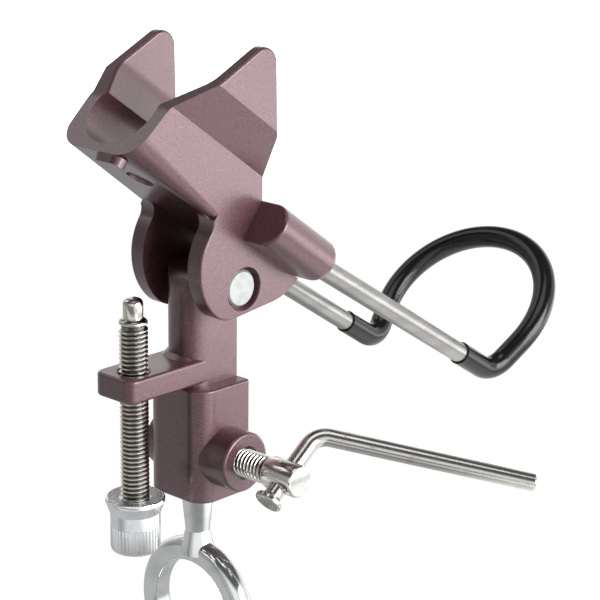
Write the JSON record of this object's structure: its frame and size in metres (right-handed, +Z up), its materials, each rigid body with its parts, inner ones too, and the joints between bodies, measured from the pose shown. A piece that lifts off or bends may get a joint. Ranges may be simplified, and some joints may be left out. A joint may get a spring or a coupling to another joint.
{
  "type": "clamp-on rod rest head",
  "caption": "Clamp-on rod rest head: a tilting horned cradle with a wire butt loop, on a cast clamp body with an angle screw, a tommy-bar clamp screw and a swivelling ring eye.",
  "frame": {"origin": "centre of the ring eye", "axes": "+Z up the post, -X towards the open front of the cradle and the angle screw, +X towards the wire loop, Y along the pivot pin; the clamp screw points to -Y"},
  "size_m": [0.1799, 0.1129, 0.1838],
  "materials": {
    "bright_chrome": "bright chrome plate",
    "plum_paint": "satin metallic plum paint over a casting",
    "zinc_pin": "zinc plate, turned face",
    "washer_nylon": "black nylon",
    "stainless_wire": "drawn stainless wire",
    "black_sleeve": "glossy black shrunk-on sleeve",
    "nickel_screw": "nickel plate",
    "turned_aluminium": "bright turned and knurled aluminium"
  },
  "bodies": {
    "eye": {"eye_post": "bright_chrome"},
    "clamp": {"clamp_body": "plum_paint"},
    "head": {"cradle_head": "plum_paint", "pivot_pin": "zinc_pin", "pivot_cap": "zinc_pin", "spacer_near": "washer_nylon", "spacer_far": "washer_nylon", "wire_loop": "stainless_wire", "loop_sleeve": "black_sleeve"},
    "angle_rod": {"angle_screw": "nickel_screw"},
    "knob": {"angle_knob": "turned_aluminium"},
    "screw": {"clamp_screw": "nickel_screw"},
    "bar": {"tommy_bar": "nickel_screw"}
  },
  "joints": [
    {"name": "post_swivel", "type": "hinge", "parent": "eye", "child": "clamp", "pos_m": [0, 0, 0.0362], "axis": [0, 0, 1], "continuous": true},
    {"name": "head_tilt", "type": "hinge", "parent": "clamp", "child": "head", "pos_m": [0.0043, 0, 0.0963], "axis": [0, -1, 0], "range_deg": [0, 55]},
    {"name": "angle_screw_travel", "type": "slide", "parent": "clamp", "child": "angle_rod", "axis": [0, 0, -1], "range_m": [-0.024, 0.012]},
    {"name": "angle_knob_turn", "type": "hinge", "parent": "angle_rod", "child": "knob", "pos_m": [-0.0237, 0, 0.035], "axis": [0, 0, -1], "range_deg": [-6912, 3456]},
    {"name": "clamp_screw_turn", "type": "hinge", "parent": "clamp", "child": "screw", "pos_m": [0, -0.03, 0.0488], "axis": [0, 1, 0], "continuous": true},
    {"name": "tommy_bar_slide", "type": "slide", "parent": "screw", "child": "bar", "axis": [0.7997, 0, 0.6004], "range_m": [-0.004, 0.0018]}
  ],
  "couplings": [
    {"joint": "angle_knob_turn", "follows": "angle_screw_travel", "rad_per_m": 5026.5}
  ]
}
